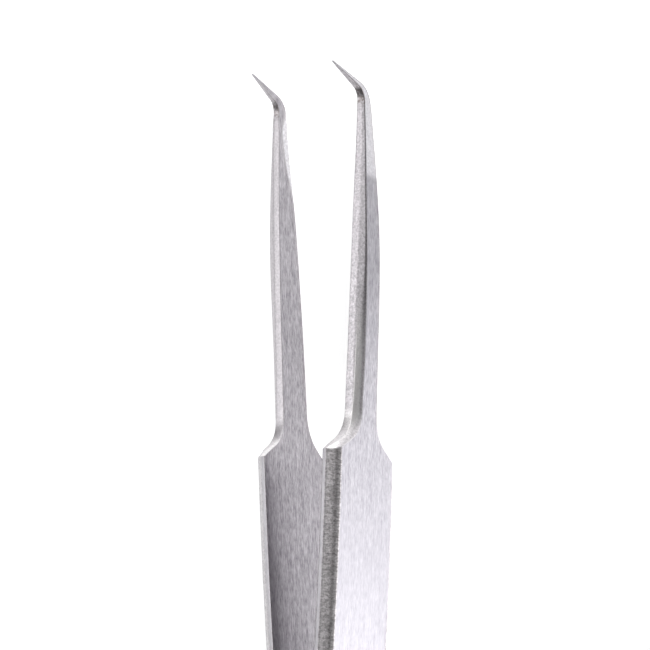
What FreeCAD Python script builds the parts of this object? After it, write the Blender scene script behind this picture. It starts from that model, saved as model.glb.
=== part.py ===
import FreeCAD, Part
import os
from math import atan, cos, radians, sin, sqrt, tan

# Fine-point tweezers with side-bent tips, in millimetres.
# The tweezers lie on their long edges: +X runs from the heel to the tips, Y is the opening
# direction (left arm on +Y, right arm on -Y) and +Z is the side the tips bend towards.
# Origin: centre of the bounding box in X and Y, at the level of the resting edges in Z.
# Stations along an arm are measured from the shoulder line: heel negative, tips positive.

# Overall
OVERALL_LENGTH = 110.0
BODY_WIDTH = 10.0
EDGE_STOCK = 0.05  # left on each long edge before it is ground flat
SLAB_DEPTH = 5.0  # of the blocks that stand in for the grinding of the long edges

# Where the two leaves meet and where they flex
HEEL_WIDTH = 6.0
HEEL_CORNER_RADIUS = 2.2
TAPER_END = -48.0  # the handle has its full width from here to the shoulder
WELD_FRONT = -62.0
FLEXURE = -48.0

# Spot welds: lens-flat nuggets half sunk in each leaf
WELD_RADIUS = 1.5
WELD_HALF_THICKNESS = 0.35
WELD_STATIONS = (-74.5, -70.0, -65.5)

# Tip: the shank turns sideways through a short bend and ends in a straight needle
BEND_START = 29.47
BEND_RADIUS = 1.5
BEND_ANGLE = 70.0
NEEDLE_LENGTH = 3.79

# Shoulder: a straight ground line that runs into the shank with a fillet
# Each line as (its corner's distance ahead of the shoulder line, its slope in degrees)
UPPER_INNER_LINE = (0.0, 58.0)
UPPER_OUTER_LINE = (0.15, 60.0)
LOWER_INNER_LINE = (0.85, 55.0)
LOWER_OUTER_LINE = (0.30, 58.0)
SHOULDER_FILLET = 3.0
FLARE_LENGTH = 5.0  # from the shoulder line to where the shank has its own width

# Cross-section: square land at the inner face, then a two-step bevel to a narrower outer face
LAND_SHARE = 0.66  # most of the thickness that the land may take, which limits it at the tip
BEVEL_INSET = 0.99
INSET_SHARE = 0.6  # most of the half-width that the bevel may take, which limits it at the heel
KNEE_WIDTH = 0.38  # of the bevel inset, measured from the outer face
KNEE_HEIGHT = 0.76  # of the bevel height, measured from the land

# Sections per stretch of a leaf
HEEL_CORNER_ANGLES = (0, 18, 36, 54, 72)  # round the heel's corners, degrees
WELD_SECTIONS = 4
SPRING_SECTIONS = 6
HANDLE_SECTIONS = 16
FLARE_SECTIONS = 25
SHANK_SECTIONS = 16
BEND_SECTIONS = 10
NEEDLE_SECTIONS = 5

# Smooth curves along the arm as knots of (station, value, slope)
HALF_GAP = (
    (WELD_FRONT, 0.0, 0.0),
    (-15.0, 1.96, 0.0655),
    (0.0, 2.72, 0.038),
    (16.5, 3.37, 0.033),
    (28.5, 3.72, 0.022),
    (35.1, 3.77, 0.0),
)
THICKNESS = (
    (WELD_FRONT, 0.80, 0.0),
    (-28.0, 1.22, 0.0),
    (4.0, 1.22, 0.0),
    (8.0, 1.25, 0.0),
    (16.0, 1.25, -0.01),
    (20.0, 1.14, -0.04),
    (28.5, 0.71, -0.055),
    (31.3, 0.50, -0.09),
    (35.1, 0.12, -0.10),
)
SHANK_INNER = (
    (3.3, 1.87, -0.015),
    (10.0, 1.73, -0.022),
    (16.5, 1.50, -0.045),
    (22.5, 1.15, -0.080),
    (28.5, 0.70, -0.040),
    (30.4, 0.48, -0.180),
    (31.3, 0.305, -0.080),
    (35.1, 0.045, -0.085),
)
SHANK_OUTER = (
    (3.5, 1.13, 0.0),
    (8.5, 1.00, 0.0),
    (19.0, 1.00, -0.015),
    (28.5, 0.54, -0.040),
    (30.4, 0.34, -0.150),
    (31.3, 0.19, -0.060),
    (35.1, 0.022, -0.040),
)
UPPER_LAND_HEIGHT = (
    (0.0, 0.37, 0.0),
    (0.8, 0.80, 0.0),
    (5.0, 0.70, 0.0),
    (12.0, 0.63, -0.008),
    (22.0, 0.57, 0.0),
)
LOWER_LAND_HEIGHT = (
    (0.0, 0.37, 0.0),
    (5.0, 0.60, 0.0),
)
CENTRE_LINE = (
    (0.0, 0.0, 0.0),
    (4.0, -0.10, 0.0),
    (8.0, -0.10, 0.0),
    (16.5, 0.0, 0.02),
    (BEND_START, 0.41, 0.035),
)


def along(knots, s):
    """Value at station s of the cubic through the knots, constant beyond the ends."""
    if s <= knots[0][0]:
        return knots[0][1]
    for (s0, v0, m0), (s1, v1, m1) in zip(knots, knots[1:]):
        if s <= s1:
            h = s1 - s0
            u = (s - s0) / h
            rise = v0 + (v1 - v0) * u * u * (3 - 2 * u)
            return rise + h * u * (1 - u) * (m0 * (1 - u) - m1 * u)
    return knots[-1][1]


def centre(s):
    """Distance from the shoulder, height and heading of the arm's centre line at s."""
    shank_heading = atan(CENTRE_LINE[-1][2])
    if s < BEND_START:
        step = 0.01
        slope = (along(CENTRE_LINE, s + step) - along(CENTRE_LINE, s - step)) / (2 * step)
        return s, along(CENTRE_LINE, s), atan(slope)
    turned = min((s - BEND_START) / BEND_RADIUS, radians(BEND_ANGLE))
    run = max(0.0, s - BEND_END)
    heading = shank_heading + turned
    x = BEND_START + BEND_RADIUS * (sin(heading) - sin(shank_heading)) + run * cos(heading)
    rise = BEND_RADIUS * (cos(shank_heading) - cos(heading)) + run * sin(heading)
    return x, CENTRE_LINE[-1][1] + rise, heading


BEND_END = BEND_START + BEND_RADIUS * radians(BEND_ANGLE)
TIP_STATION = BEND_END + NEEDLE_LENGTH
HEEL = centre(TIP_STATION)[0] - OVERALL_LENGTH
SHOULDER_X = -HEEL - OVERALL_LENGTH / 2


def shoulder(s, line, body, shank):
    """Half-width in the flare from the shank to the body's corner."""
    corner, angle = line
    slope = tan(radians(angle))
    foot = corner + (body - shank) / slope
    reach = SHOULDER_FILLET * tan(radians(angle / 2))
    if s >= foot + reach:
        return shank
    if s >= foot - reach * cos(radians(angle)):
        run = foot + reach - s
        return shank + SHOULDER_FILLET - sqrt(SHOULDER_FILLET ** 2 - run ** 2)
    return min(body, body - (s - corner) * slope)


def handle_half_width(s):
    """Half-width of the inner face behind the shoulder, with the heel's rounded corners."""
    full = BODY_WIDTH / 2 + EDGE_STOCK
    if s >= TAPER_END:
        return full
    u = (s - HEEL) / (TAPER_END - HEEL)
    half = HEEL_WIDTH / 2 + (full - HEEL_WIDTH / 2) * u * (2 - u)
    run = HEEL_CORNER_RADIUS - (s - HEEL)
    if run <= 0:
        return half
    return half - HEEL_CORNER_RADIUS + sqrt(HEEL_CORNER_RADIUS ** 2 - run ** 2)


def half_widths(s, lower):
    """Half-widths of the inner and outer faces on one side of the centre line."""
    inner_body = handle_half_width(s)
    inset = BEVEL_INSET * min(1.0, along(THICKNESS, s) / THICKNESS[1][1])
    outer_body = inner_body - min(inset, INSET_SHARE * inner_body)
    if s < 0:
        return inner_body, outer_body
    inner_line = LOWER_INNER_LINE if lower else UPPER_INNER_LINE
    outer_line = LOWER_OUTER_LINE if lower else UPPER_OUTER_LINE
    inner = shoulder(s, inner_line, inner_body, along(SHANK_INNER, s))
    outer = shoulder(s, outer_line, outer_body, along(SHANK_OUTER, s))
    return inner, outer


def half_outline(s, lower):
    """Half of the section at s as (across, out from the inner face), inner edge first."""
    thick = along(THICKNESS, s)
    land = min(along(LOWER_LAND_HEIGHT if lower else UPPER_LAND_HEIGHT, s), LAND_SHARE * thick)
    inner, outer = half_widths(s, lower)
    knee = outer + KNEE_WIDTH * (inner - outer)
    return [(inner, 0.0), (inner, land), (knee, land + KNEE_HEIGHT * (thick - land)), (outer, thick)]


def section(s, side):
    """Closed outline of one leaf at station s; side is +1 for the left leaf, -1 for the right."""
    x, z, heading = centre(s)
    gap = along(HALF_GAP, s)
    corners = half_outline(s, False) + [(-w, y) for w, y in reversed(half_outline(s, True))]
    points = []
    for w, y in corners:
        px = SHOULDER_X + x - w * sin(heading)
        pz = BODY_WIDTH / 2 + z + w * cos(heading)
        points.append(FreeCAD.Vector(px, side * (gap + y), pz))
    return Part.makePolygon(points + points[:1])


def spread(start, end, count):
    """Evenly spaced stations from start up to, but not including, end."""
    return [start + (end - start) * i / count for i in range(count)]


def tang_stations():
    """Stations from the heel to the flexure line."""
    corner = [HEEL + HEEL_CORNER_RADIUS * (1 - cos(radians(a))) for a in HEEL_CORNER_ANGLES]
    welded = spread(HEEL + HEEL_CORNER_RADIUS, WELD_FRONT, WELD_SECTIONS)
    return corner + welded + spread(WELD_FRONT, FLEXURE, SPRING_SECTIONS) + [FLEXURE]


def blade_stations():
    """Stations from the flexure line to the tip, close together at the shoulder and the bend."""
    handle = spread(FLEXURE, 0.0, HANDLE_SECTIONS)
    flare = spread(0.0, FLARE_LENGTH, FLARE_SECTIONS)
    shank = spread(FLARE_LENGTH, BEND_START, SHANK_SECTIONS)
    bend = spread(BEND_START, BEND_END, BEND_SECTIONS)
    return handle + flare + shank + bend + spread(BEND_END, TIP_STATION, NEEDLE_SECTIONS) + [TIP_STATION]


def slab(bottom, front):
    """Block over both leaves, from behind the heel to x = front and upwards from z = bottom."""
    corner = FreeCAD.Vector(-OVERALL_LENGTH, -BODY_WIDTH, bottom)
    return Part.makeBox(OVERALL_LENGTH + front, 2 * BODY_WIDTH, SLAB_DEPTH, corner)


def leaf(stations, side):
    """Solid leaf through the sections, with its two long edges ground flat."""
    rough = Part.makeLoft([section(s, side) for s in stations], True, True)
    resting = rough.cut(slab(-SLAB_DEPTH, OVERALL_LENGTH))
    return resting.cut(slab(BODY_WIDTH, SHOULDER_X + FLARE_LENGTH))


def nugget(station):
    """One weld nugget, a disc across the joint between the two leaves."""
    base = FreeCAD.Vector(SHOULDER_X + station, -WELD_HALF_THICKNESS, BODY_WIDTH / 2)
    return Part.makeCylinder(WELD_RADIUS, 2 * WELD_HALF_THICKNESS, base, FreeCAD.Vector(0, 1, 0))


def spot_welds():
    """The row of nuggets at the heel."""
    return Part.makeCompound([nugget(s) for s in WELD_STATIONS])


def tang(side):
    """Rear of one leaf, from the heel to the flexure line, with seats for the nuggets."""
    return leaf(tang_stations(), side).cut(spot_welds())


def blade(side):
    """Free part of one leaf: handle, shoulder, shank and bent tip."""
    return leaf(blade_stations(), side)


parts = {
    "left_arm": blade(1),
    "right_arm": blade(-1),
    "left_tang": tang(1),
    "right_tang": tang(-1),
    "spot_welds": spot_welds(),
}

os.makedirs("parts", exist_ok=True)
for name, shape in parts.items():
    shape.exportStep("parts/" + name + ".step")
    print(name, shape.isValid(), round(shape.Volume, 1), "mm3,", len(shape.Solids), "solids")
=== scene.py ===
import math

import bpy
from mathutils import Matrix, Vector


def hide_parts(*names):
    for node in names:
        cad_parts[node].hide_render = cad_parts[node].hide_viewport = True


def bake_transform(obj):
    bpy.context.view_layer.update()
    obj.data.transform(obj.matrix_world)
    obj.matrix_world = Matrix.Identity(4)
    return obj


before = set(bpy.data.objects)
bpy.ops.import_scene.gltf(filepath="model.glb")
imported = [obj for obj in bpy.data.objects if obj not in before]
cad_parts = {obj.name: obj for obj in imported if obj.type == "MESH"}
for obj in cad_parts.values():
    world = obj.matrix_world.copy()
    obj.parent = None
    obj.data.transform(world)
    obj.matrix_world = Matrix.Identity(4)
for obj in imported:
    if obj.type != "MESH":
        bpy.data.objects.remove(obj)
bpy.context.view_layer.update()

# Tweezers with side-bent needle tips. Each sprung leaf is one continuous ground and brushed steel
# piece that follows the CAD leaf and bends over its flexure. Lengths are in millimetres here and
# become metres when a mesh is made. Stations run along a leaf from the shoulder line, heel
# negative and tips positive.

MM = 0.001

# Leaf: overall
OVERALL_LENGTH = 110.0
BODY_WIDTH = 10.0
HEEL_WIDTH = 6.0
HEEL_CORNER_RADIUS = 2.2
TAPER_END = -48.0
WELD_FRONT = -62.0

# Tip
BEND_START = 29.47
BEND_RADIUS = 1.5
BEND_ANGLE = 70.0
NEEDLE_LENGTH = 3.79

# Shoulder: lines as (corner's distance ahead of the shoulder line, slope in degrees)
UPPER_INNER_LINE = (0.0, 58.0)
UPPER_OUTER_LINE = (0.15, 60.0)
LOWER_INNER_LINE = (0.85, 55.0)
LOWER_OUTER_LINE = (0.30, 58.0)
SHOULDER_FILLET = 3.0

# Cross-section; the shares limit a land to part of the thickness and a bevel to part of the width
LAND_SHARE = 0.66
BEVEL_INSET = 0.99
BEVEL_SHARE = 0.6
KNEE_WIDTH = 0.38
KNEE_HEIGHT = 0.76

# Roundings; the shares limit them to part of the thickness or of the edges beside them
EDGE_RADIUS = 0.07
KNEE_RADIUS = 0.45
THICKNESS_SHARE = 0.3
BODY_EDGE_SHARE = 0.4
NEEDLE_EDGE_SHARE = 0.15
HEEL_END_RADIUS = 0.10
TIP_END_RADIUS = 0.03
END_SHARE = 0.6

# Smooth curves along the leaf: (station, value, slope)
HALF_GAP = (
    (WELD_FRONT, 0.0, 0.0),
    (-15.0, 1.96, 0.0655),
    (0.0, 2.72, 0.038),
    (16.5, 3.37, 0.033),
    (28.5, 3.72, 0.022),
    (35.1, 3.77, 0.0),
)
THICKNESS = (
    (WELD_FRONT, 0.80, 0.0),
    (-28.0, 1.22, 0.0),
    (4.0, 1.22, 0.0),
    (8.0, 1.25, 0.0),
    (16.0, 1.25, -0.01),
    (20.0, 1.14, -0.04),
    (28.5, 0.71, -0.055),
    (31.3, 0.50, -0.09),
    (35.1, 0.12, -0.10),
)
SHANK_INNER = (
    (3.3, 1.87, -0.015),
    (10.0, 1.73, -0.022),
    (16.5, 1.50, -0.045),
    (22.5, 1.15, -0.080),
    (28.5, 0.70, -0.040),
    (30.4, 0.48, -0.180),
    (31.3, 0.305, -0.080),
    (35.1, 0.045, -0.085),
)
SHANK_OUTER = (
    (3.5, 1.13, 0.0),
    (8.5, 1.00, 0.0),
    (19.0, 1.00, -0.015),
    (28.5, 0.54, -0.040),
    (30.4, 0.34, -0.150),
    (31.3, 0.19, -0.060),
    (35.1, 0.022, -0.040),
)
UPPER_LAND_HEIGHT = (
    (0.0, 0.37, 0.0),
    (0.8, 0.80, 0.0),
    (5.0, 0.70, 0.0),
    (12.0, 0.63, -0.008),
    (22.0, 0.57, 0.0),
)
LOWER_LAND_HEIGHT = (
    (0.0, 0.37, 0.0),
    (5.0, 0.60, 0.0),
)
BODY_LAND = UPPER_LAND_HEIGHT[0][1]
CENTRE_LINE = (
    (0.0, 0.0, 0.0),
    (4.0, -0.10, 0.0),
    (8.0, -0.10, 0.0),
    (16.5, 0.0, 0.02),
    (BEND_START, 0.41, 0.035),
)
# Rounding where a land meets its bevel or chamfer
LAND_ROUNDING = (
    (0.2, 0.07, 0.0),
    (0.8, 0.02, 0.0),
    (3.0, 0.02, 0.0),
    (5.5, 0.16, 0.0),
    (22.0, 0.16, 0.0),
    (28.0, 0.07, 0.0),
)
# Width of the facet ground along the lower inner edge behind the tip
TIP_FACET = (
    (21.5, 0.02, 0.0),
    (23.7, 0.35, 0.22),
    (25.3, 0.74, 0.12),
    (28.2, 0.93, 0.0),
    (29.3, 0.40, -0.45),
    (30.2, 0.02, 0.0),
)
TIP_FACET_DEPTH = 0.07

# Mesh: zones round a section, from the upper inner edge on; each is the flat after its corner
ZONES = ("land", "bevel", "bevel", "outer", "bevel", "bevel", "land", "facet", "inner")
FLAT_STEPS = {"land": 2, "bevel": 3, "outer": 8, "facet": 2, "inner": 8}
CORNER_STEPS = (3, 5, 5, 3, 3, 5, 5, 3, 3)
SHARP_ANGLE = 38.0

# Finish: spans over which it changes, in stations unless the name says otherwise. Heights are
# above the middle of the leaf, and depths are shares of the thickness from the inner face out.
CALM_END = (-8.0, 2.0)
# Painted shade in a band inside the handle's upper edge
SHADE_BAND_END = (-9.0, -1.0)
SHADE_BAND_HEIGHT = (2.4, 4.1)
SHADE_BAND_EDGE_HEIGHT = (4.5, 5.0)
# Painted shade darkening the front of the shank
SHANK_SHADE_START = (11.5, 16.5)
# Painted highlight on the shoulder's lower side
LOWER_HIGHLIGHT_END = (3.0, 6.0)
FLARE_END = (1.5, 3.5)
# Painted highlight making the chamfer paler ahead of the flare
CHAMFER_END = (7.0, 14.0)
CHAMFER_START_DEPTH = (0.55, 0.62)
CHAMFER_END_DEPTH = (0.84, 0.93)
DARK_EDGE_DEPTH = (0.90, 0.95)
HOLLOW_START = (BEND_START - 0.6, BEND_START + 0.3)
CREASE_RISE = (BODY_LAND + 0.02, BODY_LAND + 0.11)
GROUND_FADE = 0.8
HIGHLIGHT_FADE = 1.2
SIDE_FADE = 0.01

# Finish: streak and mark sizes as repeats per millimetre along and across the leaf
SHORT_STREAKS = (1.5, 6.5, 1.0)
LONG_STREAKS = (0.2, 3.0, 1.0)
BRIGHT_SCRATCHES = (0.5, 8.0, 1.0)
SOFT_PATCHES = (0.7, 1.6, 1.0)
GRINDING_ARCS = (3.2, 1.5, 1.0)
PAPER_FIBRES = (900.0, 900.0, 900.0)
NOISE_SPAN = (0.3, 0.7)

# Finish: colours that marks turn the steel towards, and the colours of painted shade and painted
# highlight
# Painted shade colour for the broad faces
PAINTED_SHADE_COLOUR = (0.10, 0.095, 0.105)
EDGE_SHADE = (0.10, 0.095, 0.10)
CREASE_SHADE = (0.20, 0.19, 0.20)
STAIN = (0.24, 0.20, 0.18)
# Painted highlight colour for the shoulders and the chamfers
PAINTED_HIGHLIGHT = (0.95, 0.93, 0.93)

# Camera, as the object is seen: azimuth from +X towards +Y, then elevation, then roll
CAMERA_TARGET = Vector((33.85, -1.30, 7.17)) * MM
CAMERA_AZIMUTH = -114.28
CAMERA_ELEVATION = 56.53
CAMERA_ROLL = 69.58
CAMERA_DISTANCE = 419.3 * MM
CAMERA_LENS = 287.0
CAMERA_CLIP = (10 * MM, 20.0)

# Studio
STUDIO_CENTRE = Vector((20.0, 0.0, 5.0))
STUDIO_RADIUS = 500.0
# Softboxes as (name, direction from the studio's centre, size, watts)
SOFTBOXES = (
    ("back_softbox", (0.23, 0.50, 0.83), 300, 0.56),
    ("back_low_softbox", (0.20, 0.95, 0.25), 260, 0.29),
    ("top_softbox", (0.20, 0.0, 1.0), 260, 0.42),
    ("near_softbox", (0.23, -0.66, 0.72), 280, 0.275),
    ("near_low_softbox", (0.23, -0.82, 0.52), 280, 0.15),
    ("heel_back_softbox", (-0.70, 0.50, 0.50), 260, 0.13),
    ("tip_softbox", (0.90, -0.12, 0.36), 520, 1.95),
)
WORLD_STRENGTH = 0.10
FLAG_X = (-120.0, 105.0)
FLAG_Y = -75.0
FLAG_TOP = 62.0
FLOOR_REACH = 1500.0
FLOOR_DROP = 0.02

# Light that the table gives off: strengths, and where the two stronger fields begin and end
TABLE_GLOW = 0.43
SIDE_GLOW = 1.35
SIDE_GLOW_X = (39.0, 8.0)
SIDE_GLOW_FAR_Y = (-26.0, -14.0)
SIDE_GLOW_NEAR_Y = (-4.2, -3.0)
GAP_GLOW = 0.35
GAP_GLOW_X = (32.0, 20.0)
GAP_GLOW_Y = (2.0, 4.5)


# ---------------------------------------------------------------- leaf profile

def along(knots, s):
    """Value at station s of the cubic through the knots, constant beyond the ends."""
    if s <= knots[0][0]:
        return knots[0][1]
    for (s0, v0, m0), (s1, v1, m1) in zip(knots, knots[1:]):
        if s <= s1:
            h = s1 - s0
            u = (s - s0) / h
            rise = v0 + (v1 - v0) * u * u * (3 - 2 * u)
            return rise + h * u * (1 - u) * (m0 * (1 - u) - m1 * u)
    return knots[-1][1]


def centre(s):
    """Distance from the shoulder, height and heading of the centre line at s."""
    a0 = math.atan(CENTRE_LINE[-1][2])
    if s < BEND_START:
        step = 0.01
        slope = (along(CENTRE_LINE, s + step) - along(CENTRE_LINE, s - step)) / (2 * step)
        return s, along(CENTRE_LINE, s), math.atan(slope)
    turned = min((s - BEND_START) / BEND_RADIUS, math.radians(BEND_ANGLE))
    run = max(0.0, s - BEND_START - BEND_RADIUS * math.radians(BEND_ANGLE))
    a1 = a0 + turned
    x = BEND_START + BEND_RADIUS * (math.sin(a1) - math.sin(a0)) + run * math.cos(a1)
    z = CENTRE_LINE[-1][1] + BEND_RADIUS * (math.cos(a0) - math.cos(a1)) + run * math.sin(a1)
    return x, z, a1


BEND_END = BEND_START + BEND_RADIUS * math.radians(BEND_ANGLE)
TIP = BEND_END + NEEDLE_LENGTH
HEEL = centre(TIP)[0] - OVERALL_LENGTH
SHOULDER_X = -HEEL - OVERALL_LENGTH / 2
HOLLOW_END = (BEND_END - 0.5, BEND_END + 0.5)


def shoulder(s, line, body, shank):
    """Half-width in the flare from the shank to the body's corner."""
    corner, angle = line
    slope = math.tan(math.radians(angle))
    foot = corner + (body - shank) / slope
    reach = SHOULDER_FILLET * math.tan(math.radians(angle / 2))
    if s >= foot + reach:
        return shank
    if s >= foot - reach * math.cos(math.radians(angle)):
        run = foot + reach - s
        return shank + SHOULDER_FILLET - math.sqrt(SHOULDER_FILLET ** 2 - run ** 2)
    return min(body, body - (s - corner) * slope)


def handle_half_width(s):
    """Half-width of the inner face behind the shoulder, with the heel's rounded corners."""
    full = BODY_WIDTH / 2
    if s >= TAPER_END:
        return full
    u = (s - HEEL) / (TAPER_END - HEEL)
    half = HEEL_WIDTH / 2 + (full - HEEL_WIDTH / 2) * u * (2 - u)
    run = HEEL_CORNER_RADIUS - (s - HEEL)
    if run <= 0:
        return half
    return half - HEEL_CORNER_RADIUS + math.sqrt(HEEL_CORNER_RADIUS ** 2 - run ** 2)


def half_widths(s, lower):
    """Half-widths of the inner and outer faces on one side of the centre line."""
    inner_body = handle_half_width(s)
    inset = BEVEL_INSET * min(1.0, along(THICKNESS, s) / THICKNESS[1][1])
    outer_body = inner_body - min(inset, BEVEL_SHARE * inner_body)
    if s < 0:
        return inner_body, outer_body
    inner_line = LOWER_INNER_LINE if lower else UPPER_INNER_LINE
    outer_line = LOWER_OUTER_LINE if lower else UPPER_OUTER_LINE
    inner = shoulder(s, inner_line, inner_body, along(SHANK_INNER, s))
    outer = shoulder(s, outer_line, outer_body, along(SHANK_OUTER, s))
    return inner, outer


def corners(s):
    """Corners of the section at s as (across, out from the inner face, rounding radius)."""
    thick = along(THICKNESS, s)
    upper_land = min(along(UPPER_LAND_HEIGHT, s), LAND_SHARE * thick)
    lower_land = min(along(LOWER_LAND_HEIGHT, s), LAND_SHARE * thick)
    upper_knee = upper_land + KNEE_HEIGHT * (thick - upper_land)
    lower_knee = lower_land + KNEE_HEIGHT * (thick - lower_land)
    upper_in, upper_out = half_widths(s, False)
    lower_in, lower_out = half_widths(s, True)
    cut = along(TIP_FACET, s)
    edge = min(EDGE_RADIUS, THICKNESS_SHARE * thick)
    land_end = min(along(LAND_ROUNDING, s), THICKNESS_SHARE * thick)
    return [
        (upper_in, 0.0, edge),
        (upper_in, upper_land, land_end),
        (upper_out + KNEE_WIDTH * (upper_in - upper_out), upper_knee, KNEE_RADIUS),
        (upper_out, thick, edge),
        (-lower_out, thick, edge),
        (-lower_out - KNEE_WIDTH * (lower_in - lower_out), lower_knee, KNEE_RADIUS),
        (-lower_in, lower_land, land_end),
        (-lower_in, TIP_FACET_DEPTH * cut, edge),
        (cut - lower_in, 0.0, edge),
    ]


# ---------------------------------------------------------------- leaf mesh

def rounded_outline(points, share):
    """Closed outline with rounded corners, as (place, zone of the edge that follows).

    A rounding takes at most the given share of each edge beside it.
    """
    count = len(points)
    vectors = [Vector(p[:2]) for p in points]
    outline = []
    for i, (here, zone) in enumerate(zip(vectors, ZONES)):
        back = vectors[i - 1] - here
        after = vectors[(i + 1) % count]
        ahead = after - here
        radius = points[i][2]
        next_radius = points[(i + 1) % count][2]
        start = here + back.normalized() * min(radius, share * back.length)
        end = here + ahead.normalized() * min(radius, share * ahead.length)
        far = after - ahead.normalized() * min(next_radius, share * ahead.length)
        corner_zone = "bevel" if zone != "facet" else "facet"
        for k in range(CORNER_STEPS[i]):
            t = k / CORNER_STEPS[i]
            p = start * (1 - t) ** 2 + here * 2 * t * (1 - t) + end * t * t
            outline.append((p, corner_zone))
        flat = FLAT_STEPS[zone]
        outline += [(end.lerp(far, k / flat), zone) for k in range(flat)]
    return outline


def stations():
    """Stations from heel to tip, close together where the outline turns fast."""
    # Each mark is a station and the spacing from there to the next mark
    marks = (
        (HEEL, 0.06), (HEEL + 0.3, 0.15), (HEEL + HEEL_CORNER_RADIUS, 0.8), (-1.0, 0.1),
        (-0.05, 0.05), (1.0, 0.1), (5.0, 0.4), (BEND_START - 1.5, 0.15), (BEND_END + 0.4, 0.3),
        (TIP - 0.3, 0.06), (TIP, 0.0),
    )
    found = []
    for (start, step), (end, _) in zip(marks, marks[1:]):
        count = max(1, round((end - start) / step))
        found += [start + (end - start) * i / count for i in range(count)]
    return found + [TIP]


def end_inset(s):
    """How far the outline draws in where the heel and the tip round over."""
    radius = HEEL_END_RADIUS if s < 0 else TIP_END_RADIUS
    run = radius - min(s - HEEL, TIP - s)
    if run <= 0:
        return 0.0
    return radius - math.sqrt(max(0.0, radius ** 2 - run ** 2))


def ring(s, side):
    """The leaf's outline at s as (place, zone, across, out from the inner face) per point."""
    x, z, heading = centre(s)
    gap = along(HALF_GAP, s)
    middle = 0.5 * along(THICKNESS, s)
    inset = end_inset(s)
    share = BODY_EDGE_SHARE if s < BEND_START else NEEDLE_EDGE_SHARE
    points = []
    for p, zone in rounded_outline(corners(s), share):
        w = p.x - math.copysign(min(inset, END_SHARE * abs(p.x)), p.x)
        y = p.y - math.copysign(min(inset, END_SHARE * middle), p.y - middle)
        place = Vector((
            SHOULDER_X + x - w * math.sin(heading),
            side * (gap + y),
            max(0.0, BODY_WIDTH / 2 + z + w * math.cos(heading)),
        ))
        points.append((place * MM, zone, w, y))
    return points


def finish_of(zone, s):
    """Which finish a zone of the section has at station s."""
    if zone in ("bevel", "land") and s > 0:
        return "ground"
    return zone


def skin(rings, side, slots):
    """Faces of the leaf, each face's material slot, and the UV of every face corner.

    U is the station. V is the height above the middle on the broad faces; on the sides it is the
    distance out from the inner face, positive on the upper side and negative on the lower.
    """
    across = len(rings[0][1])
    faces, slot_of, uvs = [], [], []
    for r, (s, points) in enumerate(rings[:-1]):
        middle = 0.5 * (s + rings[r + 1][0])
        for c, (_, zone, _, _) in enumerate(points):
            d = (c + 1) % across
            quad = [(r, c), (r, d), (r + 1, d), (r + 1, c)]
            if side > 0:
                quad.reverse()
            faces.append([a * across + b for a, b in quad])
            slot_of.append(slots[finish_of(zone, middle)])
            for a, b in quad:
                _, _, w, y = rings[a][1][b]
                v = w if zone in ("outer", "inner") else math.copysign(y, w)
                uvs.append((rings[a][0], v))
    for r in (0, len(rings) - 1):
        cap = [r * across + c for c in range(across)]
        if (r == 0) == (side > 0):
            cap.reverse()
        faces.append(cap)
        slot_of.append(slots["ground"])
        uvs += [(rings[r][0], 0.0)] * across
    return faces, slot_of, uvs


def make_leaf(name, side, materials):
    """One leaf from heel to tip; side is +1 for the left arm and -1 for the right."""
    rings = [(s, ring(s, side)) for s in stations()]
    slots = {finish: i for i, finish in enumerate(materials)}
    faces, slot_of, uvs = skin(rings, side, slots)
    depths = [y / along(THICKNESS, s) for s, points in rings for _, _, _, y in points]

    mesh = bpy.data.meshes.new(name)
    mesh.from_pydata([place for _, points in rings for place, _, _, _ in points], [], faces)
    for material in materials.values():
        mesh.materials.append(material)
    mesh.polygons.foreach_set("material_index", slot_of)
    mesh.attributes.new("depth", "FLOAT", "POINT").data.foreach_set("value", depths)
    layer = mesh.uv_layers.new(name="Lengthwise")
    for loop, uv in zip(layer.data, uvs):
        loop.uv = uv
    mesh.shade_smooth()
    mesh.set_sharp_from_angle(angle=math.radians(SHARP_ANGLE))
    mesh.validate()
    leaf = bpy.data.objects.new(name, mesh)
    bpy.context.scene.collection.objects.link(leaf)
    return leaf


# ---------------------------------------------------------------- materials

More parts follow.
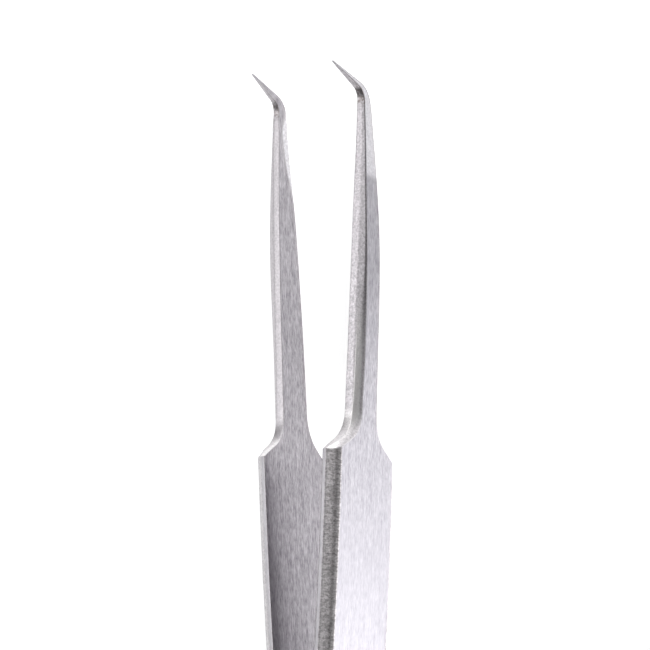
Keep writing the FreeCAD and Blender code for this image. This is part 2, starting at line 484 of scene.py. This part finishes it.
class Nodes:
    """Short calls for building one material's node tree."""

    def __init__(self, name):
        self.material = bpy.data.materials.new(name)
        self.material.use_nodes = True
        self.tree = self.material.node_tree
        self.shader = self.tree.nodes["Principled BSDF"]

    def add(self, kind, inputs=None, **settings):
        node = self.tree.nodes.new(kind)
        for key, value in settings.items():
            setattr(node, key, value)
        for key, value in (inputs or {}).items():
            self.put(node.inputs[key], value)
        return node

    def put(self, socket, value):
        if isinstance(value, bpy.types.NodeSocket):
            self.tree.links.new(value, socket)
        else:
            socket.default_value = value

    # Places on the surface

    def coordinates(self, source, scale):
        """Texture or UV coordinates times a scale per axis."""
        place = self.add("ShaderNodeTexCoord").outputs[source]
        mapping = self.add("ShaderNodeMapping", {"Vector": place, "Scale": scale})
        return mapping.outputs["Vector"]

    def axis(self, source, name, scale=1.0):
        """One axis of the texture or UV coordinates, times a scale."""
        place = self.coordinates(source, (scale, scale, scale))
        return self.add("ShaderNodeSeparateXYZ", {"Vector": place}).outputs[name]

    def station(self):
        """Millimetres along the leaf from the shoulder."""
        return self.axis("UV", "X")

    def height(self):
        """Millimetres above the middle of the leaf, on its inner and outer faces."""
        return self.axis("UV", "Y")

    def rise(self):
        """Millimetres out of the inner face, on the sides of the leaf."""
        return self.math("ABSOLUTE", self.axis("UV", "Y"), 0.0)

    def depth(self):
        """Share of the thickness out from the inner face, 0 to 1."""
        return self.add("ShaderNodeAttribute", attribute_name="depth").outputs["Fac"]

    def by_side(self, upper, lower):
        """One value on the upper side of the leaf and another on the lower."""
        return self.remap(self.axis("UV", "Y"), -SIDE_FADE, SIDE_FADE, lower, upper)

    def inside_bend(self):
        """One on the hollow side of the tip's bend, zero elsewhere."""
        start = self.fade(self.station(), HOLLOW_START, 0.0, 1.0)
        end = self.fade(self.station(), HOLLOW_END, 1.0, 0.0)
        return self.product(start, end, self.by_side(1.0, 0.0))

    # Values

    def noise(self, vector, detail, roughness=0.6, distortion=0.0):
        inputs = {
            "Vector": vector, "Scale": 1.0, "Detail": detail,
            "Roughness": roughness, "Distortion": distortion,
        }
        return self.add("ShaderNodeTexNoise", inputs).outputs["Fac"]

    def remap(self, value, low, high, to_low, to_high, kind="LINEAR"):
        inputs = {
            "Value": value, "From Min": low, "From Max": high,
            "To Min": to_low, "To Max": to_high,
        }
        return self.add("ShaderNodeMapRange", inputs, interpolation_type=kind).outputs["Result"]

    def fade(self, value, span, before, after):
        """Smooth change from one number to another while the value crosses the span."""
        return self.remap(value, *span, before, after, "SMOOTHSTEP")

    def vary(self, noise, low, high):
        """The noise's usual range stretched to low and high."""
        return self.remap(noise, *NOISE_SPAN, low, high)

    def math(self, operation, a, b):
        node = self.add("ShaderNodeMath", operation=operation)
        self.put(node.inputs[0], a)
        self.put(node.inputs[1], b)
        return node.outputs[0]

    def product(self, first, *others):
        for other in others:
            first = self.math("MULTIPLY", first, other)
        return first

    def total(self, first, *others):
        for other in others:
            first = self.math("ADD", first, other)
        return first

    def mix(self, factor, a, b):
        node = self.add("ShaderNodeMix", data_type="FLOAT")
        self.put(node.inputs["Factor"], factor)
        self.put(node.inputs["A"], a)
        self.put(node.inputs["B"], b)
        return node.outputs["Result"]

    # Colours and the finished surface

    def tint(self, value, dark, light):
        """A colour between dark and light."""
        ramp = self.add("ShaderNodeValToRGB", {"Fac": value})
        ramp.color_ramp.elements[0].color = (*dark, 1)
        ramp.color_ramp.elements[1].color = (*light, 1)
        return ramp.outputs["Color"]

    def towards(self, colour, factor, other):
        """The colour turned towards another one by a factor."""
        node = self.add("ShaderNodeMixRGB", {"Fac": factor, "Color1": colour})
        node.inputs["Color2"].default_value = (*other, 1)
        return node.outputs["Color"]

    def bump(self, height, strength, distance):
        inputs = {"Height": height, "Strength": strength, "Distance": distance * MM}
        return self.add("ShaderNodeBump", inputs).outputs["Normal"]

    def steel(self, colour, roughness, normal):
        self.put(self.shader.inputs["Base Color"], colour)
        self.put(self.shader.inputs["Roughness"], roughness)
        self.put(self.shader.inputs["Normal"], normal)
        self.shader.inputs["Metallic"].default_value = 1.0
        return self.material


def streaks(nodes):
    """Scratches along the leaf: short sharp ones, long faint ones, bright ones, and patches."""
    short = nodes.noise(nodes.coordinates("UV", SHORT_STREAKS), 3.0, 0.75)
    long = nodes.noise(nodes.coordinates("UV", LONG_STREAKS), 2.0)
    bright = nodes.noise(nodes.coordinates("UV", BRIGHT_SCRATCHES), 1.0)
    patches = nodes.noise(nodes.coordinates("UV", SOFT_PATCHES), 2.0)
    return nodes.total(
        nodes.mix(0.25, short, long),
        nodes.remap(bright, 0.62, 0.74, 0.0, 0.16),
        nodes.remap(patches, 0.35, 0.65, -0.035, 0.035),
    )


def grain(nodes, size):
    """Even grain of a hand-ground surface, size in millimetres."""
    scale = 1.0 / (size * MM)
    return nodes.noise(nodes.coordinates("Object", (scale, scale, scale)), 3.0, 0.65)


def brushed_face(name, ground_from, calm, upper_edge_shade, shank_shade, dark, light):
    """Broad face brushed lengthwise; ahead of ground_from it is ground by hand instead.

    The brushing can be calmer on the handle, with a band of painted shade inside its upper edge,
    and the front of the shank can be darkened with painted shade.
    """
    nodes = Nodes(name)
    lines = nodes.mix(nodes.remap(nodes.station(), *CALM_END, calm, 0.0), streaks(nodes), 0.5)
    grit = grain(nodes, 0.20)
    ground = nodes.fade(nodes.station(), (ground_from, ground_from + GROUND_FADE), 0.0, 1.0)
    marks = nodes.mix(ground, lines, grit)
    brushed_shade = nodes.remap(lines, 0.36, 0.64, 0.0, 0.5)
    shade = nodes.mix(ground, brushed_shade, nodes.vary(grit, 0.55, 1.0))
    # Painted shade in a band inside the upper edge of the handle
    shade_band = nodes.product(
        nodes.fade(nodes.height(), SHADE_BAND_HEIGHT, 0.0, 1.0),
        nodes.fade(nodes.height(), SHADE_BAND_EDGE_HEIGHT, 1.0, 0.4),
        nodes.remap(nodes.station(), *SHADE_BAND_END, upper_edge_shade, 0.0),
    )
    # Painted shade darkening the front of the shank, added to the band
    painted_shade = nodes.total(shade_band, nodes.fade(nodes.station(), SHANK_SHADE_START, 0.0, shank_shade))
    colour = nodes.towards(nodes.tint(shade, dark, light), painted_shade, PAINTED_SHADE_COLOUR)
    return nodes.steel(colour, nodes.vary(marks, 0.42, 0.30), nodes.bump(marks, 0.35, 0.012))


def ground_steel(name, highlight_until, highlight_depth, chamfer, coarseness, dark, light):
    """Hand-ground shank sides, shoulders and points.

    The shoulder has a painted highlight on both sides: on the upper one as far as the station
    highlight_until and most of all out to highlight_depth. Ahead of the flare, a painted highlight
    makes the chamfer paler by a factor and painted shade makes the edge beside the outer face
    dark.
    The inside of the bend is stained.
    """
    nodes = Nodes(name)
    grit = grain(nodes, 0.18)
    specks = nodes.remap(grit, 0.34, 0.54, 0.75, 1.2)
    colour = nodes.tint(nodes.vary(grit, 0, 1), dark, light)

    # Painted highlight on the shoulder, on its upper side and on its lower side
    upper_highlight = nodes.product(
        nodes.fade(nodes.station(), (highlight_until, highlight_until + HIGHLIGHT_FADE), 1.0, 0.0),
        nodes.fade(nodes.depth(), (highlight_depth - 0.25, highlight_depth + 0.15), 0.62, 0.15),
    )
    lower_highlight = nodes.product(
        nodes.by_side(0.0, 1.0),
        nodes.fade(nodes.station(), LOWER_HIGHLIGHT_END, 0.8, 0.0),
    )
    # Both painted highlights on the shoulder together
    cut = nodes.math("MAXIMUM", upper_highlight, lower_highlight)
    colour = nodes.towards(colour, nodes.product(cut, specks), PAINTED_HIGHLIGHT)

    ahead = nodes.fade(nodes.station(), FLARE_END, 0.0, 1.0)
    # Painted highlight making the chamfer paler ahead of the flare
    pale = nodes.product(
        nodes.fade(nodes.depth(), CHAMFER_START_DEPTH, 0.0, chamfer),
        nodes.fade(nodes.depth(), CHAMFER_END_DEPTH, 1.0, 0.0),
        nodes.fade(nodes.station(), CHAMFER_END, 1.0, 0.0),
        specks,
        ahead,
    )
    colour = nodes.towards(colour, pale, PAINTED_HIGHLIGHT)
    edge = nodes.product(ahead, nodes.fade(nodes.depth(), DARK_EDGE_DEPTH, 0.0, 0.55))
    colour = nodes.towards(colour, edge, EDGE_SHADE)
    stain = nodes.product(nodes.inside_bend(), nodes.remap(grit, 0.40, 0.58, 0.75, 0.0))
    colour = nodes.towards(colour, stain, STAIN)
    normal = nodes.bump(grit, 0.5 * coarseness, 0.02)
    return nodes.steel(colour, nodes.vary(grit, 0.48, 0.36), normal)


def facet_steel():
    """Bright facet stoned on the inner edge behind the tip."""
    nodes = Nodes("facet_steel")
    grit = grain(nodes, 0.20)
    colour = nodes.tint(nodes.vary(grit, 0, 1), (0.56, 0.55, 0.58), (0.88, 0.87, 0.90))
    return nodes.steel(colour, nodes.vary(grit, 0.50, 0.38), nodes.bump(grit, 0.5, 0.02))


def bevel_steel(name, coarseness, dark, light):
    """Handle bevels: curved grinding marks across the bevel and a dark line along its land."""
    nodes = Nodes(name)
    arcs = nodes.noise(nodes.coordinates("UV", GRINDING_ARCS), 2.0, 0.6, 1.6)
    grit = grain(nodes, 0.16)
    marks = nodes.mix(0.52, arcs, grit)
    crease = nodes.fade(nodes.rise(), CREASE_RISE, 0.6 * coarseness, 0.0)
    colour = nodes.tint(nodes.remap(marks, 0.38, 0.62, 0, 1), dark, light)
    colour = nodes.towards(colour, crease, CREASE_SHADE)
    normal = nodes.bump(marks, 0.7 * coarseness, 0.03)
    return nodes.steel(colour, nodes.vary(marks, 0.48, 0.34), normal)


def land_steel():
    """Narrow flat land along each handle edge, ground fine and lengthwise."""
    nodes = Nodes("land_steel")
    lines = streaks(nodes)
    shade = nodes.remap(lines, 0.35, 0.65, 0, 1)
    colour = nodes.tint(shade, (0.285, 0.277, 0.293), (0.375, 0.365, 0.386))
    return nodes.steel(colour, nodes.vary(lines, 0.40, 0.30), nodes.bump(lines, 0.25, 0.01))


def weld_steel():
    """Fused nugget: matt grey with coarse grain."""
    nodes = Nodes("weld_steel")
    grit = grain(nodes, 0.3)
    colour = nodes.tint(grit, (0.36, 0.35, 0.35), (0.56, 0.55, 0.55))
    return nodes.steel(colour, nodes.vary(grit, 0.6, 0.45), nodes.bump(grit, 0.5, 0.03))


def card(name, roughness, dark, light):
    """Plain paper or card with fine fibres, as nodes that can be added to."""
    nodes = Nodes(name)
    fibre = nodes.noise(nodes.coordinates("Object", PAPER_FIBRES), 4.0)
    nodes.put(nodes.shader.inputs["Base Color"], nodes.tint(fibre, (dark,) * 3, (light,) * 3))
    nodes.shader.inputs["Roughness"].default_value = roughness
    return nodes


def floor_paper():
    """Pale table top glowing evenly, with painted pools of light beside the right handle and
    between both.
    """
    nodes = card("floor_paper", 0.9, 0.93, 0.96)
    x = nodes.axis("Object", "X", 1 / MM)
    y = nodes.axis("Object", "Y", 1 / MM)
    beside = nodes.product(
        nodes.remap(x, *SIDE_GLOW_X, 0.0, SIDE_GLOW),
        nodes.fade(y, SIDE_GLOW_FAR_Y, 0.0, 1.0),
        nodes.fade(y, SIDE_GLOW_NEAR_Y, 1.0, 0.0),
    )
    between = nodes.product(
        nodes.remap(x, *GAP_GLOW_X, 0.0, GAP_GLOW),
        nodes.fade(nodes.math("ABSOLUTE", y, 0.0), GAP_GLOW_Y, 1.0, 0.0),
    )
    nodes.shader.inputs["Emission Color"].default_value = (1, 1, 1, 1)
    glow = nodes.total(beside, between, TABLE_GLOW)
    nodes.put(nodes.shader.inputs["Emission Strength"], glow)
    return nodes.material


# ---------------------------------------------------------------- stage

def make_camera():
    data = bpy.data.cameras.new("camera")
    data.lens = CAMERA_LENS
    data.clip_start, data.clip_end = CAMERA_CLIP
    camera = bpy.data.objects.new("camera", data)
    bpy.context.scene.collection.objects.link(camera)
    azimuth = math.radians(CAMERA_AZIMUTH)
    elevation = math.radians(CAMERA_ELEVATION)
    back = Vector((
        math.cos(elevation) * math.cos(azimuth),
        math.cos(elevation) * math.sin(azimuth),
        math.sin(elevation),
    ))
    place = Matrix.Translation(CAMERA_TARGET + back * CAMERA_DISTANCE)
    level = back.to_track_quat("Z", "Y").to_matrix().to_4x4()
    roll = Matrix.Rotation(math.radians(-CAMERA_ROLL), 4, "Z")
    camera.matrix_world = place @ level @ roll
    bpy.context.scene.camera = camera


def stage_sheet(name, outline, material):
    """Flat four-cornered sheet that stands in the studio and isn't part of the object."""
    mesh = bpy.data.meshes.new(name)
    mesh.from_pydata([Vector(corner) * MM for corner in outline], [], [(0, 1, 2, 3)])
    mesh.materials.append(material)
    sheet = bpy.data.objects.new(name, mesh)
    bpy.context.scene.collection.objects.link(sheet)
    return sheet


def make_floor():
    r = FLOOR_REACH
    floor = stage_sheet("floor", ((-r, -r, 0), (r, -r, 0), (r, r, 0), (-r, r, 0)), floor_paper())
    floor.location.z = -FLOOR_DROP * MM


def make_flag():
    """Black card, seen in reflections only, that keeps the pale table out of the bevels."""
    back, front = FLAG_X
    outline = (
        (back, FLAG_Y, 0), (front, FLAG_Y, 0), (front, FLAG_Y, FLAG_TOP), (back, FLAG_Y, FLAG_TOP),
    )
    flag = stage_sheet("flag", outline, card("flag_card", 1.0, 0.015, 0.03).material)
    flag.visible_camera = False


def make_softbox(name, direction, size, power):
    """Square softbox on the studio sphere, facing its centre."""
    data = bpy.data.lights.new(name, "AREA")
    data.size = size * MM
    data.energy = power
    back = Vector(direction).normalized()
    lamp = bpy.data.objects.new(name, data)
    lamp.location = (STUDIO_CENTRE + back * STUDIO_RADIUS) * MM
    lamp.rotation_euler = back.to_track_quat("Z", "Y").to_euler()
    lamp.visible_camera = False
    bpy.context.scene.collection.objects.link(lamp)


def make_world():
    world = bpy.data.worlds.new("studio")
    bpy.context.scene.world = world
    world.use_nodes = True
    background = world.node_tree.nodes["Background"]
    background.inputs["Color"].default_value = (1.0, 1.0, 1.0, 1.0)
    background.inputs["Strength"].default_value = WORLD_STRENGTH


# ---------------------------------------------------------------- build

bpy.context.scene.view_settings.view_transform = "Standard"
make_camera()

# Finishes of both leaves; the inner face is brushed all the way to the tip
shared = {
    "inner": brushed_face(
        "inner_face_steel", ground_from=TIP, calm=0.0, upper_edge_shade=0.35, shank_shade=0.0,
        dark=(0.236, 0.2205, 0.245), light=(0.90, 0.87, 0.91),
    ),
    "outer": brushed_face(
        "outer_face_steel", ground_from=22.9, calm=0.5, upper_edge_shade=0.0, shank_shade=0.12,
        dark=(0.30, 0.286, 0.325), light=(0.80, 0.789, 0.820),
    ),
    "land": land_steel(),
    "facet": facet_steel(),
}
left_finishes = {
    "bevel": bevel_steel(
        "left_bevel_steel", coarseness=0.2, dark=(0.44, 0.425, 0.44), light=(0.62, 0.60, 0.62),
    ),
    "ground": ground_steel(
        "left_ground_steel", highlight_until=1.0, highlight_depth=0.45, chamfer=0.0, coarseness=0.5,
        dark=(0.44, 0.42, 0.44), light=(0.58, 0.556, 0.58),
    ),
}
right_finishes = {
    "bevel": bevel_steel(
        "right_bevel_steel", coarseness=1.0, dark=(0.31, 0.293, 0.30), light=(0.80, 0.768, 0.784),
    ),
    "ground": ground_steel(
        "right_ground_steel", highlight_until=3.0, highlight_depth=0.82, chamfer=1.0, coarseness=1.3,
        dark=(0.36, 0.342, 0.36), light=(0.665, 0.637, 0.665),
    ),
}
for arm, tang, side, finishes in (
    ("left_arm", "left_tang", 1, left_finishes),
    ("right_arm", "right_tang", -1, right_finishes),
):
    leaf = make_leaf(arm.replace("arm", "leaf"), side, shared | finishes)
    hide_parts(arm, tang)
    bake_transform(leaf)

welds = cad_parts["spot_welds"]
welds.data.materials.clear()
welds.data.materials.append(weld_steel())

make_floor()
make_flag()
make_world()
for softbox in SOFTBOXES:
    make_softbox(*softbox)
